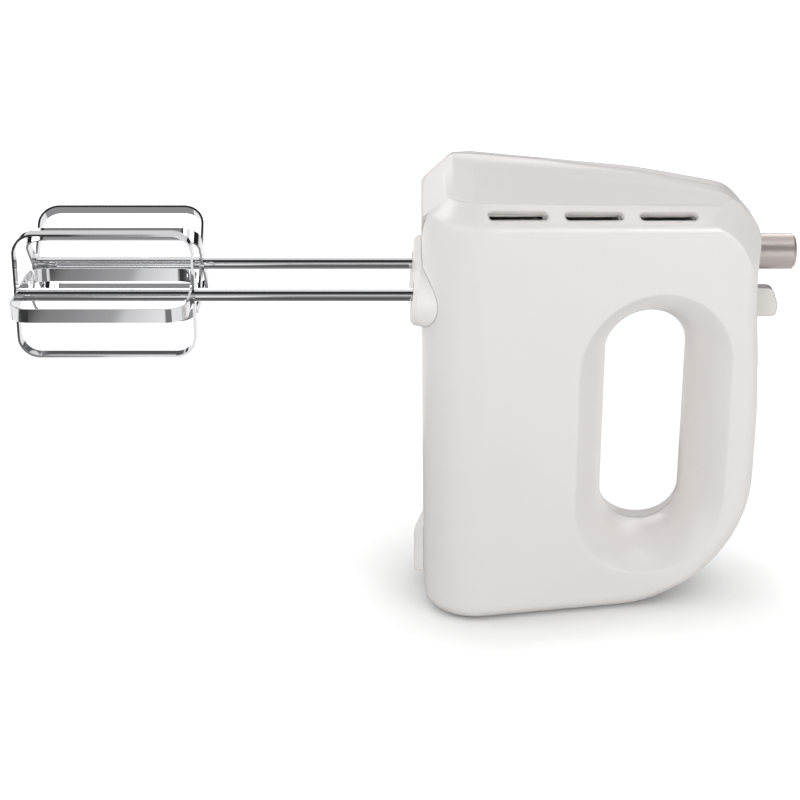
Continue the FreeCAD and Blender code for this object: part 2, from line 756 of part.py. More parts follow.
def spindle(name, side):
    """Hollow spindle: wide socket for the beater, narrow tail for the ejector pin."""
    bore = mm("beater_r") + mm("fit")
    r = mm("spindle_r")
    tail = mm("tail_r")
    profile = [(bore, 0), (r, 0), (r, 28.5), (tail, 28.5), (tail, 49.5), (2.0, 49.5), (2.0, 29.3), (bore, 29.3)]
    return turned(name, profile, V(-62.6, side * mm("axle_y"), mm("axle_z")), ALONG_X)


def worm_wheel(name, side):
    """Toothed wheel on the spindle's tail, in step with the worm."""
    r = mm("wheel_r")
    bore = circle(mm("tail_r"))
    width = mm("wheel_width")
    place = V(mm("motor_x") - width / 2, side * mm("axle_y"), mm("axle_z"))
    wheel = padded(name, [circle(r), bore], "sizes.wheel_width", place, ALONG_X)
    root = r - 2.0
    gap = rounded([(root, -0.6, 0), (r + 1, -1.2, 0), (r + 1, 1.2, 0), (root, 0.6, 0)])
    return notch_ring(wheel, gap, int(mm("teeth")))


def gearbox_frame():
    """Die-cast cradle: front and back walls carry the spindle bushes, the floor the motor."""
    y = 29.0
    floor = mm("axle_z") - 22.0
    block = box("frame_block", V(-52, -y, floor), V(-15, y, mm("axle_z") + 13.0))
    room = box("frame_room", V(-47, -y - 1, floor + 4), V(-20, y + 1, 200))
    cuts = [room]
    for name, side in SIDES:
        cuts.append(cylinder("frame_bore_" + name, "7", "60", V(-60, side * mm("axle_y"), mm("axle_z")), ALONG_X))
    cuts.append(cylinder("frame_eye", "6.6", "20", V(mm("motor_x"), 0, floor - 5), UP))
    cuts.append(box("frame_lighten", V(-60, -9, floor + 9), V(0, 9, mm("axle_z") + 6.0)))
    return boolean("Cut", "gearbox_frame", block, boolean("MultiFuse", "frame_cuts", *cuts))


def spindle_bushes():
    """Four bronze bushes pressed into the gearbox frame."""
    made = []
    for name, side in SIDES:
        for end, x, radius in (("front", -52.0, "spindle_r"), ("back", -20.0, "tail_r")):
            y, z = side * mm("axle_y"), mm("axle_z")
            ring = cylinder("bush_%s_%s" % (end, name), "7", "5", V(x, y, z), ALONG_X)
            hole = cylinder("bush_bore_%s_%s" % (end, name), "sizes.%s + sizes.fit" % radius, "9",
                            V(x - 2, y, z), ALONG_X)
            made.append(boolean("Cut", "bush_cut_%s_%s" % (end, name), ring, hole))
    group = doc.addObject("Part::Compound", "spindle_bushes")
    group.Links = made
    return group


# --------------------------------------------------------------------------------------
# Motor
# --------------------------------------------------------------------------------------

def armature_shaft():
    """Motor shaft with the worm at its upper end."""
    r = mm("shaft_r")
    worm = mm("worm_r")
    low = 24.0
    start = mm("axle_z") - 13.0 - low
    top = mm("axle_z") + 13.0 - low
    profile = [(0, 0), (r, 0), (r, start - 2), (worm, start), (worm, top), (r, top + 2), (r, top + 6), (0, top + 6)]
    return turned("armature_shaft", profile, V(mm("motor_x"), 0, low))


def armature_core():
    """Laminated core with twelve winding slots."""
    place = V(mm("motor_x"), 0, mm("stack_low"))
    core = padded("armature_core", [circle(mm("armature_r")), circle(mm("shaft_r"))], "sizes.stack_height", place)
    slot = rounded([(7.5, -1.6, 0), (12.4, -1.6, 0.6), (12.4, -0.6, 0), (15, -0.6, 0), (15, 0.6, 0),
                    (12.4, 0.6, 0), (12.4, 1.6, 0.6), (7.5, 1.6, 0)])
    return notch_ring(core, slot, 12)


def armature_winding():
    """Two copper end turns, one at each end of the core."""
    low = mm("stack_low")
    high = low + mm("stack_height")
    heads = []
    for name, z in (("low", low - 5.0), ("high", high)):
        ring = [(5.0, 0), (11.0, 0), (12.6, 1.6), (12.6, 3.4), (11.0, 5.0), (5.0, 5.0)]
        heads.append(turned("winding_" + name, ring, V(mm("motor_x"), 0, z)))
    group = doc.addObject("Part::Compound", "armature_winding")
    group.Links = heads
    return group


def commutator():
    """Copper drum with insulating grooves between its segments."""
    r = mm("commutator_r")
    drum = padded("commutator", [circle(r), circle(mm("shaft_r"))], "12", V(mm("motor_x"), 0, 37.0))
    return notch_ring(drum, rectangle(r - 1.2, -0.25, r + 1, 0.25), 12)


def cooling_fan():
    """Radial fan above the stator: a disc with nine swept blades."""
    r = mm("fan_r")
    z = 95.0
    disc = cylinder("fan_disc", "sizes.fan_r", "1.5", V(mm("motor_x"), 0, z))
    hub = cylinder("fan_hub", "6.5", "9", V(mm("motor_x"), 0, z))
    members = [disc, hub]
    for i in range(9):
        blade = doc.addObject("Part::Box", "fan_blade_%d" % i)
        blade.Length, blade.Width, blade.Height = r - 8.0, 1.2, 8.0
        swept = FreeCAD.Placement(V(7.0, 0, 0), FreeCAD.Rotation(V(0, 0, 1), 14))
        spin = FreeCAD.Placement(V(mm("motor_x"), 0, z), FreeCAD.Rotation(V(0, 0, 1), 40 * i))
        blade.Placement = spin.multiply(swept)
        members.append(blade)
    eye = cylinder("fan_eye", "sizes.shaft_r", "20", V(mm("motor_x"), 0, z - 2))
    return boolean("Cut", "cooling_fan", boolean("MultiFuse", "fan_solid", *members), eye)


def stator_core():
    """Laminated field stack: square outside with clipped corners, two poles inside."""
    place = V(mm("motor_x"), 0, mm("stack_low"))
    outside = rectangle(-24.5, -27, 24.5, 27, 6.0)
    stack = padded("stator_blank", outside, "sizes.stack_height", place)
    bore = cylinder("stator_bore", "sizes.armature_r + 0.5", "60", V(mm("motor_x"), 0, 40))
    windows = []
    for name, side in SIDES:
        for end, step in (("front", -1), ("back", 1)):
            x = mm("motor_x") + step * 14.0
            windows.append(box("window_%s_%s" % (name, end), V(x - 6, side * 15.5 - 4.5, 40),
                               V(x + 6, side * 15.5 + 4.5, 100)))
    return boolean("Cut", "stator_core", stack, boolean("MultiFuse", "stator_cuts", bore, *windows))


def field_coils():
    """Two field coils: each a bundle that loops round one pole above and below the stack."""
    low = mm("stack_low")
    high = low + mm("stack_height")
    members = []
    for name, side in SIDES:
        x = mm("motor_x")
        y = side * 15.5
        outside = box("coil_out_" + name, V(x - 19.5, y - 4.2, low - 5.5), V(x + 19.5, y + 4.2, high + 5.5))
        inside = box("coil_in_" + name, V(x - 8.5, y - 10, low - 0.1), V(x + 8.5, y + 10, high + 0.1))
        members.append(boolean("Cut", "coil_loop_" + name, outside, inside))
    clear = cylinder("coil_clear", "sizes.armature_r + 0.5", "60", V(mm("motor_x"), 0, 40))
    return boolean("Cut", "field_coils", boolean("MultiFuse", "coil_pair", *members), clear)


def motor_plate(name, z, inner_z, stack_z):
    """Bearing plate with a seat in the middle and four posts to the stack."""
    x = mm("motor_x")
    plate = box(name + "_plate", V(x - 23, -27, z), V(x + 23, 27, z + 3))
    seat = cylinder(name + "_seat", "9", "7", V(x, 0, z if stack_z > z else z - 4))
    eye = cylinder(name + "_eye", "6.5", "20", V(x, 0, z - 8))
    members = [plate, seat]
    low, high = sorted((inner_z, stack_z))
    for i, (dx, dy) in enumerate(((-19, -23.5), (19, -23.5), (19, 23.5), (-19, 23.5))):
        members.append(cylinder("%s_post_%d" % (name, i), "2.9", "%.3f" % (high - low), V(x + dx, dy, low)))
    return boolean("Cut", name, boolean("MultiFuse", name + "_solid", *members), eye)


def bearing(name, z):
    """Sintered sleeve bearing of the motor shaft."""
    bore = mm("shaft_r") + mm("fit")
    return turned(name, [(bore, 0), (5.5, 0), (6.5, 1), (6.5, 6), (5.5, 7), (bore, 7)], V(mm("motor_x"), 0, z))


def brush_gear():
    """Brush holders on the lower plate's level and the carbon brushes that slide in them."""
    holders = []
    brushes = []
    x = mm("motor_x")
    gap = mm("commutator_r") + 0.1
    for name, side in SIDES:
        y0, y1 = sorted((side * (gap + 2.5), side * 24.0))
        outside = box("holder_out_" + name, V(x - 4.5, y0, 28.0), V(x + 4.5, y1, 47.5))
        inside = box("holder_in_" + name, V(x - 2.6, y0 - 1, 40.4), V(x + 2.6, y1 + 1, 46.1))
        holders.append(boolean("Cut", "holder_" + name, outside, inside))
        b0, b1 = sorted((side * gap, side * 19.0))
        brushes.append(box("brush_" + name, V(x - 2.5, b0, 40.5), V(x + 2.5, b1, 46.0)))
    made = []
    for label, members in (("brush_holders", holders), ("carbon_brushes", brushes)):
        group = doc.addObject("Part::Compound", label)
        group.Links = members
        made.append(group)
    return made


def capacitor():
    """Suppressor capacitor on the floor of the heel."""
    page = rectangle(0, 0, 20, 8, 1.0)
    return padded("suppressor_capacitor", page, "12", V(18, -4, 8.0))


# --------------------------------------------------------------------------------------
# Eject button and speed slider
# --------------------------------------------------------------------------------------

def eject_button():
    """Round push button with a retaining flange inside the housing."""
    r = mm("button_r")
    start = 73.0
    end = mm("button_x") - start
    profile = [(0, 0), (r + 1.8, 0), (r + 1.8, 2), (r, 2), (r, end - 1.2), (r - 1.2, end), (0, end)]
    return turned("eject_button", profile, V(start, 0, mm("button_z")), ALONG_X)


def ejector_yoke():
    """Rod behind the button, yoke plate, and the two pins that push the beaters out."""
    plate = box("yoke_plate", V(-4.6, -25, 138.5), V(-1.6, 25, 160.0))
    rod = cylinder("yoke_rod", "3", "75", V(-2, 0, mm("button_z")), ALONG_X)
    members = [plate, rod]
    for name, side in SIDES:
        members.append(cylinder("pin_" + name, "1.7", "30", V(-33.7, side * mm("axle_y"), mm("axle_z")), ALONG_X))
    return boolean("MultiFuse", "ejector_yoke", *members)


def back_x_at(z):
    """Where the leaning back of the handle is at one height."""
    return mm("back_x") - back_lean() * (z - mm("back_lean_z"))


def on_back(out, up):
    """Point in the side view, measured off the leaning back at the slider's height."""
    lean = back_lean()
    size = math.hypot(1.0, lean)
    return V(back_x_at(mm("slider_z")) + (out - up * lean) / size, mm("slider_z") + (out * lean + up) / size, 0)


def speed_slider():
    """Thumb lever: a D-shaped fin outside the slot, a stem through it."""
    root = mm("track_rise") + 0.3
    points = ((root, -7.0, 0), (9.7, -7.2, 1.4), (11.1, -3.0, 9.0), (9.0, 5.2, 3.4), (root, 6.2, 0))
    corners = [(on_back(out, up).x, on_back(out, up).y, radius) for out, up, radius in points]
    half = mm("lever_half")
    fin = extrusion("fin_blank", sketch("fin_side", rounded(corners), V(0, 0, 0), UPRIGHT), half, half)
    stem = box("stem", V(77.5, -2.0, mm("slider_z") - 4), V(on_back(root, 0).x + 1.0, 2.0, mm("slider_z") + 4))
    return boolean("MultiFuse", "speed_slider", fin, stem)


def slider_carriage():
    """Contact carriage that the lever drags along inside the handle."""
    z = mm("slider_z")
    return box("slider_carriage", V(73.6, -6, z - 7), V(77.5, 6, z + 7))


def slider_track(outer):
    """Cover plate let into the back of the handle, sloping edges, the lever's slot in it."""
    low = mm("slider_z") - mm("slider_travel") - 9.0
    high = mm("slider_z") + 6.0
    rise = mm("track_rise")
    half = mm("track_half")
    side = rounded([(back_x_at(low) - 2.0, low - 2.0, 0), (back_x_at(low) + rise, low + 1.5, 0),
                    (back_x_at(high) + rise, high - 1.5, 0), (back_x_at(high) - 2.0, high + 2.0, 0)])
    strip = extrusion("track_strip", sketch("track_side", side, V(0, 0, 0), UPRIGHT), half, half)
    edge = back_x_at(low) + rise
    plan = rounded([(75.0, -half, 0), (edge - 3.0, -half, 0), (edge, -half + 3.5, 0), (edge, half - 3.5, 0),
                    (edge - 3.0, half, 0), (75.0, half, 0)])
    tilt = FreeCAD.Rotation(V(0, 1, 0), -math.degrees(math.atan(back_lean())))
    bevel = extrusion("track_plan", sketch("track_plan_outline", plan, V(0, 0, low), tilt), 60.0, 20.0)
    slot = box("track_slot", V(70, -2.3, low + 4.5), V(99, 2.3, high - 2.0))
    shaped = boolean("MultiCommon", "track_shaped", strip, bevel)
    return boolean("Cut", "slider_track", boolean("Cut", "track_slotted", shaped, slot), outer)


def switch_parts():
    """Slide switch: moulded block and its four contact leaves."""
    block = box("switch_block", V(62, -7, 104), V(71.5, 7, 146))
    leaves = [box("leaf_%d" % i, V(71.5, -4.2 + 2.4 * i, 108 + 3 * i), V(72.3, -3.0 + 2.4 * i, 142))
              for i in range(4)]
    group = doc.addObject("Part::Compound", "switch_contacts")
    group.Links = leaves
    return [block, group]


# --------------------------------------------------------------------------------------
# Build, check and write
# --------------------------------------------------------------------------------------

def build():
    outer, nodes = housing_halves()
    nodes = list(nodes)
    inner = doc.getObject("inner_form")
    nodes.append(screws())
    nodes += [vent_liner("vent_liner_" + name, side, inner) for name, side in SIDES]
    nodes += [socket_guard(outer), cord_inlet(outer)]
    nodes += beaters()
    for name, side in SIDES:
        nodes += [spindle("spindle_" + name, side), worm_wheel("worm_wheel_" + name, side)]
    nodes += [gearbox_frame(), spindle_bushes()]
    nodes += [armature_shaft(), armature_core(), armature_winding(), commutator(), cooling_fan()]
    nodes += [stator_core(), field_coils()]
    high = mm("stack_low") + mm("stack_height")
    nodes += [motor_plate("lower_motor_plate", 28.0 - 3.0, 28.0, mm("stack_low"))]
    nodes += [motor_plate("upper_motor_plate", 110.0, 110.0, high)]
    nodes += [bearing("lower_bearing", 25.0), bearing("upper_bearing", 106.0)]
    nodes += brush_gear()
    nodes += [capacitor(), eject_button(), ejector_yoke()]
    nodes += [speed_slider(), slider_carriage(), slider_track(outer)]
    nodes += switch_parts()
    return nodes


def write(nodes):
    """Checks every object and writes one STEP file per sub-part."""
    doc.recompute()
    for item in doc.Objects:
        if "Invalid" in item.State or "Error" in item.State:
            raise RuntimeError("%s: %s" % (item.Name, item.State))
    os.makedirs("parts", exist_ok=True)
    for node in nodes:
        shape = node.Shape
        if shape.isNull() or not shape.isValid():
            raise RuntimeError("%s has no valid shape" % node.Name)
        node.Label = node.Name
        shape.exportStep("parts/%s.step" % node.Label)
        print("%-24s %2d solids %9.0f mm3" % (node.Label, len(shape.Solids), shape.Volume))


write(build())
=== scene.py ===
"""Studio scene for a white hand mixer: its materials, lamps, mirror cards and camera."""
import json
import math

import bpy
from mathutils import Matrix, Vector


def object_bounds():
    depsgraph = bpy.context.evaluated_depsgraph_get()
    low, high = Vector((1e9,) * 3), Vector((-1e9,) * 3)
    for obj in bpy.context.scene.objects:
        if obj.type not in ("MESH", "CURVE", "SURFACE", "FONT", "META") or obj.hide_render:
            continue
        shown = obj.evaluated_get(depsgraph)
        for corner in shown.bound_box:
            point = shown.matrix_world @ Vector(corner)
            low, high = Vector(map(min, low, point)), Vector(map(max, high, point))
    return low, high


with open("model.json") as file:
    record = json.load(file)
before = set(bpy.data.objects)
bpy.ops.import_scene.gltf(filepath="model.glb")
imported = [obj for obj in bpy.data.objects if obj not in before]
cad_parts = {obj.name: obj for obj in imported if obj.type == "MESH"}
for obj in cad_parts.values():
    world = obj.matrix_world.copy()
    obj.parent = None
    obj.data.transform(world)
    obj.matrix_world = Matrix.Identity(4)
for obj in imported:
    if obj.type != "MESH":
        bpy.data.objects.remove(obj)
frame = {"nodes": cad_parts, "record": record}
cad_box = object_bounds()
nodes = frame["nodes"]
MM = 0.001
BANDS_PER_UNIT = 6.3        # a Wave texture at Scale 1 repeats this often in one unit
CLOUD_MM = 38               # size of the patches over which a moulding's tone and gloss wander


# ---------------------------------------------------------------- colours and shader nodes

def colour(code):
    """sRGB hex, such as "f0eeea", as linear RGBA: each channel by the sRGB curve."""
    values = [int(code[i:i + 2], 16) / 255 for i in (0, 2, 4)]
    linear = [v / 12.92 if v <= 0.04045 else ((v + 0.055) / 1.055) ** 2.4 for v in values]
    return (*linear, 1.0)


def add(material, kind, links=None, **settings):
    """Adds one shader node; settings name its attributes or sockets, links feed its sockets."""
    made = material.node_tree.nodes.new(kind)
    for name, value in settings.items():
        label = name.replace("_", " ")
        if label in made.inputs:
            made.inputs[label].default_value = value
        else:
            setattr(made, name, value)
    for name, source in (links or {}).items():
        socket = made.inputs[name] if isinstance(name, int) else made.inputs[name.replace("_", " ")]
        material.node_tree.links.new(source, socket)
    return made


def new_material(name, **shader):
    """Empty material with one Principled shader and Object coordinates ready to use."""
    material = bpy.data.materials.new(name)
    material.use_nodes = True
    material.node_tree.nodes.clear()
    surface = add(material, "ShaderNodeBsdfPrincipled", **shader)
    add(material, "ShaderNodeOutputMaterial", {"Surface": surface.outputs["BSDF"]})
    place = add(material, "ShaderNodeTexCoord").outputs["Object"]
    return material, surface, place


def join(material, source, surface, socket):
    material.node_tree.links.new(source, surface.inputs[socket])


def moulded(name, tint, shade, roughness, grain_mm=0.45, relief_mm=0.006, edge_mm=0.5, gap_mm=0.0):
    """Injection-moulded plastic: spark-eroded grain in the mould gives a fine even texture, tone and
    gloss wander a little where the melt cooled at different speeds, no edge comes out sharp, and the
    gaps to its neighbours get painted shade, darker where another surface stands close."""
    material, surface, place = new_material(name, IOR=1.53)
    cloud = add(material, "ShaderNodeTexNoise", {"Vector": place}, Scale=1 / (CLOUD_MM * MM), Detail=2.0)
    blend = add(material, "ShaderNodeMix", {"Factor": cloud.outputs["Fac"]}, data_type="RGBA")
    blend.inputs[6].default_value = colour(tint)
    blend.inputs[7].default_value = colour(shade)
    tone = blend.outputs[2]
    # painted shade where the part meets its neighbours
    if gap_mm:
        tone = painted_gap_shade(material, tone, gap_mm)
    join(material, tone, surface, "Base Color")
    gloss = add(material, "ShaderNodeMapRange", {"Value": cloud.outputs["Fac"]},
                To_Min=roughness - 0.03, To_Max=roughness + 0.04)
    join(material, gloss.outputs["Result"], surface, "Roughness")
    grain = add(material, "ShaderNodeTexNoise", {"Vector": place},
                Scale=1 / (grain_mm * MM), Detail=1.0)
    edge = add(material, "ShaderNodeBevel", samples=6, Radius=edge_mm * MM)
    bump = add(material, "ShaderNodeBump",
               {"Height": grain.outputs["Fac"], "Normal": edge.outputs["Normal"]},
               Strength=1.0, Distance=relief_mm * MM)
    join(material, bump.outputs["Normal"], surface, "Normal")
    return material


def painted_gap_shade(material, tone, gap_mm):
    """Painted shade: darkens a colour where another surface stands closer than the gap's width."""
    near = add(material, "ShaderNodeAmbientOcclusion", Distance=gap_mm * MM, samples=8)
    share = add(material, "ShaderNodeMapRange", {"Value": near.outputs["AO"]},
                From_Min=0.3, From_Max=0.85, To_Min=0.35, To_Max=1.0)
    painted_shade = add(material, "ShaderNodeVectorMath", {0: tone, "Scale": share.outputs["Result"]},
               operation="SCALE")
    return painted_shade.outputs["Vector"]


def with_painted_rim_shade(material, rim_shade_tint, line_mm=0.7):
    """Paints shade onto a moulded finish: a darker colour on its upward faces, and a painted shadow line
    along every edge, which is where a softened normal departs from the face's own."""
    surface = next(n for n in material.node_tree.nodes if n.type == "BSDF_PRINCIPLED")
    plain = surface.inputs["Base Color"].links[0].from_socket
    face = add(material, "ShaderNodeNewGeometry")
    soft = add(material, "ShaderNodeBevel", samples=8, Radius=line_mm * MM)
    along = add(material, "ShaderNodeVectorMath",
                {0: face.outputs["Normal"], 1: soft.outputs["Normal"]}, operation="DOT_PRODUCT")
    # painted shadow line along every edge
    edge = add(material, "ShaderNodeMapRange", {"Value": along.outputs["Value"]},
               From_Min=0.90, From_Max=0.99, To_Min=0.8, To_Max=0.0)
    axes = add(material, "ShaderNodeSeparateXYZ", {"Vector": face.outputs["Normal"]})
    # painted shade: upward faces darker
    upward_painted_shade = add(material, "ShaderNodeMapRange", {"Value": axes.outputs["Z"]},
                From_Min=0.3, From_Max=0.5)
    painted_shade_mask = add(material, "ShaderNodeMath", {0: edge.outputs["Result"], 1: upward_painted_shade.outputs["Result"]},
               operation="MAXIMUM")
    blend = add(material, "ShaderNodeMix", {"Factor": painted_shade_mask.outputs[0], 6: plain}, data_type="RGBA")
    blend.inputs[7].default_value = colour(rim_shade_tint)
    join(material, blend.outputs[2], surface, "Base Color")
    return material


def worked_metal(name, tint, roughness, scratch_mm, stretch, relief_mm=0.002, metallic=1.0):
    """Metal finished along one direction: noise drawn out along the tool's path, so that highlights
    streak; stretch gives how much longer a mark is along X, Y and Z."""
    material, surface, place = new_material(name, Metallic=metallic, Base_Color=colour(tint))
    scale = [1 / (scratch_mm * MM * s) for s in stretch]
    drawn = add(material, "ShaderNodeMapping", {"Vector": place}, Scale=scale)
    marks = add(material, "ShaderNodeTexNoise", {"Vector": drawn.outputs["Vector"]},
                Scale=1.0, Detail=3.0)
    gloss = add(material, "ShaderNodeMapRange", {"Value": marks.outputs["Fac"]},
                To_Min=roughness * 0.8, To_Max=roughness * 1.3)
    join(material, gloss.outputs["Result"], surface, "Roughness")
    bump = add(material, "ShaderNodeBump", {"Height": marks.outputs["Fac"]}, Strength=1.0,
               Distance=relief_mm * MM)
    join(material, bump.outputs["Normal"], surface, "Normal")
    return material


def wound_wire(name, tint, painted_shade, wire_mm):
    """Enamelled copper wire: round wires side by side show as fine bands with painted shade in the
    valleys.
    """
    material, surface, place = new_material(name, Metallic=0.7, Roughness=0.28, Coat_Weight=0.5)
    bands = add(material, "ShaderNodeTexWave", {"Vector": place}, wave_type="BANDS",
                bands_direction="Z", Scale=1 / (wire_mm * MM * BANDS_PER_UNIT), Distortion=0.6)
    blend = add(material, "ShaderNodeMix", {"Factor": bands.outputs["Fac"]}, data_type="RGBA")
    # painted shade: the dark colour in the valleys between wires
    blend.inputs[6].default_value = colour(painted_shade)
    blend.inputs[7].default_value = colour(tint)
    join(material, blend.outputs[2], surface, "Base Color")
    bump = add(material, "ShaderNodeBump", {"Height": bands.outputs["Fac"]},
               Strength=1.0, Distance=0.15 * MM)
    join(material, bump.outputs["Normal"], surface, "Normal")
    return material


def stacked_sheet(name, tint, sheet_mm):
    """Electrical steel laminations: blue-grey oxidised sheets stacked along Z."""
    material, surface, place = new_material(name, Metallic=0.9, Base_Color=colour(tint),
                                            Roughness=0.45)
    edges = add(material, "ShaderNodeTexWave", {"Vector": place}, wave_type="BANDS",
                bands_direction="Z", Scale=1 / (sheet_mm * MM * BANDS_PER_UNIT))
    bump = add(material, "ShaderNodeBump", {"Height": edges.outputs["Fac"]},
               Strength=1.0, Distance=0.1 * MM)
    join(material, bump.outputs["Normal"], surface, "Normal")
    return material


# ---------------------------------------------------------------- the mixer's finishes

FINISHES = {
    # ABS housing, moulded in warm white: slightly glossy, with the mould's faint grain and painted shade
    # in its gaps
    "shell": moulded("abs_housing_white", "eae6e3", "e7e3e0", 0.3, edge_mm=1.6, gap_mm=0.6),
    # guard round the sockets: the same plastic, moulded on its own; its lighter tint is painted light
    "boss_shell": moulded("abs_boss_white_painted_light", "f4f1ee", "f1eeeb", 0.34, edge_mm=0.8, gap_mm=0.4),
    # sleeve round the cord: flexible PVC; its tint, whiter than the housing, is painted light
    "sleeve": moulded("pvc_sleeve_white_painted_light", "fcfaf7", "f9f7f4", 0.42, edge_mm=0.8, gap_mm=0.8),
    # lever and its track: pale ABS with painted shade: grey on upward faces and a grey line along every
    # edge
    "lever_plastic": with_painted_rim_shade(moulded("abs_lever_white_painted_rim_shade", "e6e3df", "e2dfdb", 0.3, relief_mm=0.003),
                            "77736f"),
    # button lacquered in a warm metallic grey: soft mirror bands round the cylinder
    "button_finish": worked_metal("metallised_button", "b9b0ad", 0.36, 0.3, (8, 1, 1), 0.001, 0.7),
    # beaters: mild steel strip and wire, bright chrome over nickel
    "beater_steel": worked_metal("bright_chrome_plate", "e6e6e8", 0.05, 0.5, (14, 1, 1), 0.0001),
    # inside: turned, plated, cast and sintered metals, each with the marks of its process
    "drive_steel": worked_metal("turned_steel", "a9a9ab", 0.25, 0.12, (1, 6, 6)),
    "screw_steel": worked_metal("zinc_plated_steel", "b4b4b6", 0.3, 0.2, (1, 1, 1)),
    "die_cast": worked_metal("die_cast_zinc", "a6a6a8", 0.5, 0.8, (1, 1, 1), 0.02),
    "bronze": worked_metal("sintered_bronze", "b08a5c", 0.45, 0.3, (1, 1, 1), 0.01),
    "copper_bar": worked_metal("turned_copper", "c9835f", 0.25, 0.15, (6, 6, 1)),
    # enamelled wire: its dark valleys are painted shade
    "copper_wire": wound_wire("enamelled_copper_wire", "b0602f", "5c2b14", 0.5),
    "lamination": stacked_sheet("electrical_steel_stack", "565b62", 0.5),
    # inside: fibre-filled and plain mouldings, pressed brushes and the capacitor's case
    "black_plastic": moulded("glass_filled_nylon_black", "1d1d1e", "222223", 0.55, 0.6, 0.02),
    "gear_plastic": moulded("acetal_natural", "e3dfd2", "dcd7c8", 0.4, 0.5, 0.004),
    "carbon": moulded("pressed_carbon", "18181a", "232326", 0.6, 0.25, 0.03),
    "capacitor_case": moulded("film_capacitor_case", "c99a2e", "bd8f28", 0.4, 0.6, 0.01),
}

OWN_FINISH = {"socket_guard": "boss_shell", "cord_inlet": "sleeve", "slider_track": "lever_plastic"}

for part in frame["record"]["subparts"]:
    finish = FINISHES[OWN_FINISH.get(part["node"], part["material_slot"])]
    for holder in nodes[part["node"]].material_slots:
        holder.material = finish


# ---------------------------------------------------------------- stage, lights and camera

def ramp(material, source, stops):
    """Smooth curve of a coordinate in metres through (position, value) stops."""
    low, high = stops[0][0], stops[-1][0]
    share = add(material, "ShaderNodeMapRange", {"Value": source}, From_Min=low, From_Max=high)
    curve = add(material, "ShaderNodeValToRGB", {"Fac": share.outputs["Result"]})
    curve.color_ramp.interpolation = "EASE"
    points = curve.color_ramp.elements
    while len(points) < len(stops):
        points.new(1.0)
    for point, (position, value) in zip(points, stops):
        point.position = (position - low) / (high - low)
        point.color = (value, value, value, 1.0)
    return curve.outputs["Color"]


SWEEP_NEAR, SWEEP_FAR = 0.25, 0.7       # metres from the mixer over which painted light, a glow the camera sees, whitens the sweep
PAINTED_SHADOW_REACH = 0.04                          # reach of the painted shadow under what stands on the sweep


def seen_directly(material, rays):
    """1 for what the camera sees, straight or through something clear, and 0 for all else."""
    return add(material, "ShaderNodeMath", {0: rays.outputs["Is Camera Ray"],
                                            1: rays.outputs["Is Transmission Ray"]},
               operation="MAXIMUM").outputs[0]


def studio_white(name, paper, seen_near, seen_far, mirrored):
    """White paper sweep that the camera sees glow, painted light brightening away from the mixer; near
    the mixer the lamps' shadows show, with a painted shadow deepest close to what stands on it."""
    material, surface, place = new_material(name, Base_Color=(paper, paper, paper, 1.0),
                                            Roughness=0.9, Specular_IOR_Level=0.0,
                                            Emission_Color=(1, 1, 1, 1))
    # painted light: the glow the camera sees grows towards the far sweep
    away = add(material, "ShaderNodeVectorMath", {0: place}, operation="LENGTH")
    far = add(material, "ShaderNodeMapRange", {"Value": away.outputs["Value"]},
              interpolation_type="SMOOTHSTEP", From_Min=SWEEP_NEAR, From_Max=SWEEP_FAR,
              To_Min=seen_near, To_Max=seen_far)
    rays = add(material, "ShaderNodeLightPath")
    # painted contact shadow: ambient occlusion darkens the glow the camera sees
    painted_contact_shadow = add(material, "ShaderNodeAmbientOcclusion", Distance=PAINTED_SHADOW_REACH, samples=16)
    glow_under_painted_shadow = add(material, "ShaderNodeMath", {0: far.outputs["Result"], 1: painted_contact_shadow.outputs["AO"]},
                   operation="MULTIPLY")
    seen = add(material, "ShaderNodeMath",
               {0: seen_directly(material, rays), 1: glow_under_painted_shadow.outputs[0]}, operation="MULTIPLY")
    glossy = add(material, "ShaderNodeMapRange", {"Value": rays.outputs["Is Glossy Ray"]},
                 To_Max=mirrored)
    level = add(material, "ShaderNodeMath", {0: seen.outputs[0], 1: glossy.outputs["Result"]},
                operation="MAXIMUM")
    join(material, level.outputs[0], surface, "Emission Strength")
    return material


def flat_sheet(name, corners):
    """Flat sheet through four corners."""
    mesh = bpy.data.meshes.new(name)
    mesh.from_pydata(list(corners), [], [(0, 1, 2, 3)])
    sheet = bpy.data.objects.new(name, mesh)
    bpy.context.scene.collection.objects.link(sheet)
    return sheet


def mirror_card(name, corners, level):
    """Card that only shiny parts mirror, at one even level."""
    sheet = flat_sheet(name, corners)
    material, surface, place = new_material(name, Base_Color=(0, 0, 0, 1), Specular_IOR_Level=0.0,
                                            Emission_Color=(1, 1, 1, 1), Emission_Strength=level)
    sheet.data.materials.append(material)
    sheet.visible_diffuse = sheet.visible_shadow = sheet.visible_camera = False
    return material, surface, place


def wide_card(name, near, far, level, reach=2):
    """Card across the whole studio, from one (y, z) edge to another."""
    mirror_card(name, ((-reach, *near), (reach, *near), (reach, *far), (-reach, *far)), level)


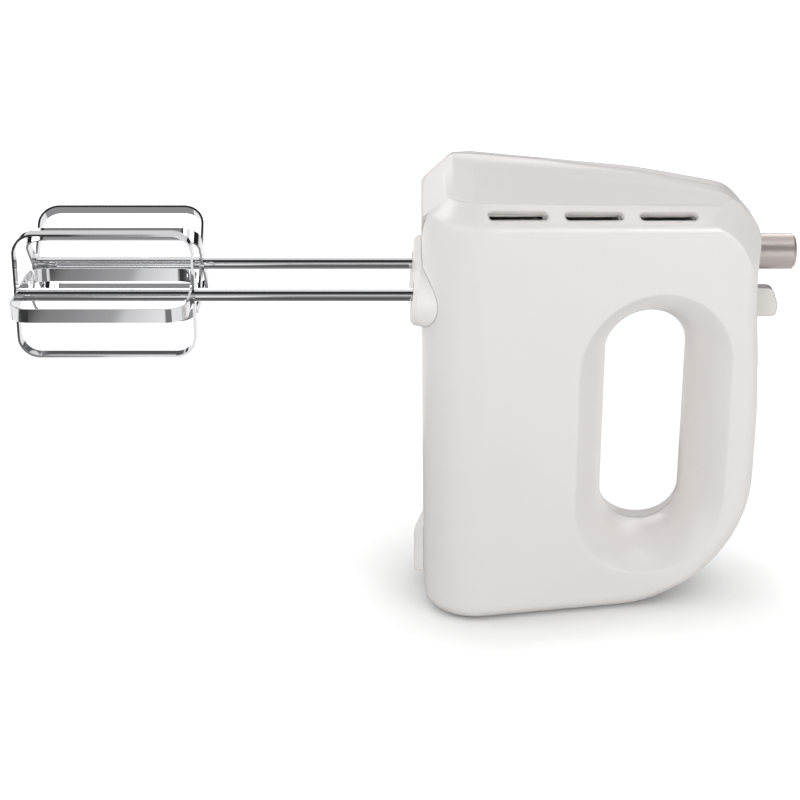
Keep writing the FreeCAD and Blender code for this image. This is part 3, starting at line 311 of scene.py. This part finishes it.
def table_card(name, height):
    """Card on the table in front of the beaters: across, it rises from dark at the left to a pale
    patch and falls again, so that flat chromed strip shows a gradient; along the view, it is lighter
    where the rear beater mirrors it; right under the beaters it is an even grey."""
    left, right, front_edge, back_edge = -0.6, 0.06, -0.8, 0.16
    corners = ((left, front_edge, height), (right, front_edge, height),
               (right, back_edge, height), (left, back_edge, height))
    material, surface, place = mirror_card(name, corners, 0.1)
    axes = add(material, "ShaderNodeSeparateXYZ", {"Vector": place})
    across = ramp(material, axes.outputs["X"],
                  ((-0.306, 0.05), (-0.288, 0.28), (-0.248, 0.42), (-0.238, 0.75),
                   (-0.215, 0.95), (-0.17, 0.95), (-0.14, 0.22)))
    ahead = ramp(material, axes.outputs["Y"],
                 ((-0.75, 0.18), (-0.62, 0.6), (-0.325, 0.6), (-0.3, 1.0), (-0.27, 1.0),
                  (-0.24, 0.0)))
    under = ramp(material, axes.outputs["Y"],
                 ((-0.28, 0.0), (-0.22, 0.13), (-0.05, 0.13), (0.03, 0.32)))
    gain = add(material, "ShaderNodeMapRange", {"Value": ahead}, To_Max=1.65)
    front = add(material, "ShaderNodeMath", {0: across, 1: gain.outputs["Result"]},
                operation="MULTIPLY")
    level = add(material, "ShaderNodeMath", {0: front.outputs[0], 1: under}, operation="ADD")
    join(material, level.outputs[0], surface, "Emission Strength")


LAMP_AIM = Vector((-0.03, 0.0, 0.10))
LAMP_DISTANCE = 1.5


def softbox(name, azimuth, elevation, width, height, power):
    """Rectangular lamp that faces the mixer: azimuth in degrees from the camera's side towards the
    right, elevation in degrees above the mixer's middle."""
    turn, rise = math.radians(azimuth), math.radians(elevation)
    away = Vector((math.cos(rise) * math.sin(turn), -math.cos(rise) * math.cos(turn),
                   math.sin(rise)))
    lamp = bpy.data.lights.new(name, "AREA")
    lamp.shape = "RECTANGLE"
    lamp.size, lamp.size_y = width, height
    lamp.energy = power
    stand = bpy.data.objects.new(name, lamp)
    stand.location = LAMP_AIM + LAMP_DISTANCE * away
    stand.rotation_euler = (-away).to_track_quat("-Z", "Y").to_euler()
    bpy.context.scene.collection.objects.link(stand)
    return stand


LAMPS = (
    # name, azimuth, elevation, width, height, watts
    ("front", -20, 12, 0.5, 0.5, 4.7),
    ("low_left", -50, 4, 0.7, 0.22, 5.9),
    ("low_right", 40, 4, 0.7, 0.22, 8.1),
    ("front_right", 65, 20, 0.5, 0.5, 2.7),
    ("high_right", 50, 60, 0.6, 0.5, 3.0),
    ("left", -95, 38, 0.9, 0.8, 9.3),
    ("right", 108, 35, 0.7, 0.5, 2.3),
    ("back_right", 150, 35, 0.7, 0.5, 3.0),
    ("back", 180, 35, 0.7, 0.5, 2.3),
    ("back_left", -150, 35, 0.7, 0.5, 3.6),
)
NOT_MIRRORED = ("front", "low_left")    # lamps that the long shafts would show as white streaks


def make_world(mirrored, ambient):
    """Plain surroundings: white where seen, darker for what mirrors them, darkest as fill."""
    world = bpy.data.worlds.new("studio")
    world.use_nodes = True
    bpy.context.scene.world = world
    surface = world.node_tree.nodes["Background"]
    surface.inputs["Color"].default_value = (1, 1, 1, 1)
    rays = add(world, "ShaderNodeLightPath")
    glossy = add(world, "ShaderNodeMapRange", {"Value": rays.outputs["Is Glossy Ray"]},
                 To_Min=ambient, To_Max=mirrored)
    level = add(world, "ShaderNodeMath",
                {0: seen_directly(world, rays), 1: glossy.outputs["Result"]}, operation="MAXIMUM")
    join(world, level.outputs[0], surface, "Strength")


FLOOR_GAP = 0.0003          # floor below the heel, so that the two faces don't coincide
CARD_RISE = 0.0002          # table card above the floor
FLOOR_REACH = 3


def make_stage():
    """Floor, surroundings, mirror cards from the one overhead down to the table, and lamps."""
    low = cad_box[0][2] - FLOOR_GAP
    floor = flat_sheet("floor", ((-FLOOR_REACH, -FLOOR_REACH, low), (FLOOR_REACH, -FLOOR_REACH, low),
                                 (FLOOR_REACH, FLOOR_REACH, low), (-FLOOR_REACH, FLOOR_REACH, low)))
    # the sweep glows with painted light and a painted contact shadow
    floor.data.materials.append(studio_white("paper_sweep_painted_light", 0.55, 0.65, 1.0, 0.5))
    make_world(0.02, 0.02)
    wide_card("card_overhead", (-0.38, 1.7), (1.9, 1.7), 0.95)
    wide_card("card_behind", (1.9, 0.35), (1.9, 1.7), 0.75)
    wide_card("card_over_lens", (-1.9, 0.55), (-1.9, 1.25), 0.25)
    wide_card("card_round_lens", (-1.9, 0.0), (-1.9, 0.55), 0.6)
    wide_card("card_high", (-0.4, 1.5), (-0.6, 1.5), 0.33)
    table_card("card_table", low + CARD_RISE)
    for lamp in LAMPS:
        stand = softbox(*lamp)
        stand.visible_glossy = lamp[0] not in NOT_MIRRORED


CAMERA_AIM = Vector((-0.068, 0.0, 0.0874))
CAMERA_DISTANCE = 0.85
CAMERA_PITCH = 22           # degrees that it looks down


def make_camera():
    """Looks straight across the mixer from its near side, a little from above."""
    lens = bpy.data.cameras.new("camera")
    lens.sensor_width = 36.0
    lens.lens = 87.3
    camera = bpy.data.objects.new("camera", lens)
    pitch = math.radians(CAMERA_PITCH)
    camera.location = CAMERA_AIM + CAMERA_DISTANCE * Vector((0, -math.cos(pitch), math.sin(pitch)))
    camera.rotation_euler = (math.radians(90) - pitch, 0, 0)
    bpy.context.scene.collection.objects.link(camera)
    bpy.context.scene.camera = camera


make_stage()
make_camera()
bpy.context.scene.view_settings.view_transform = "Standard"
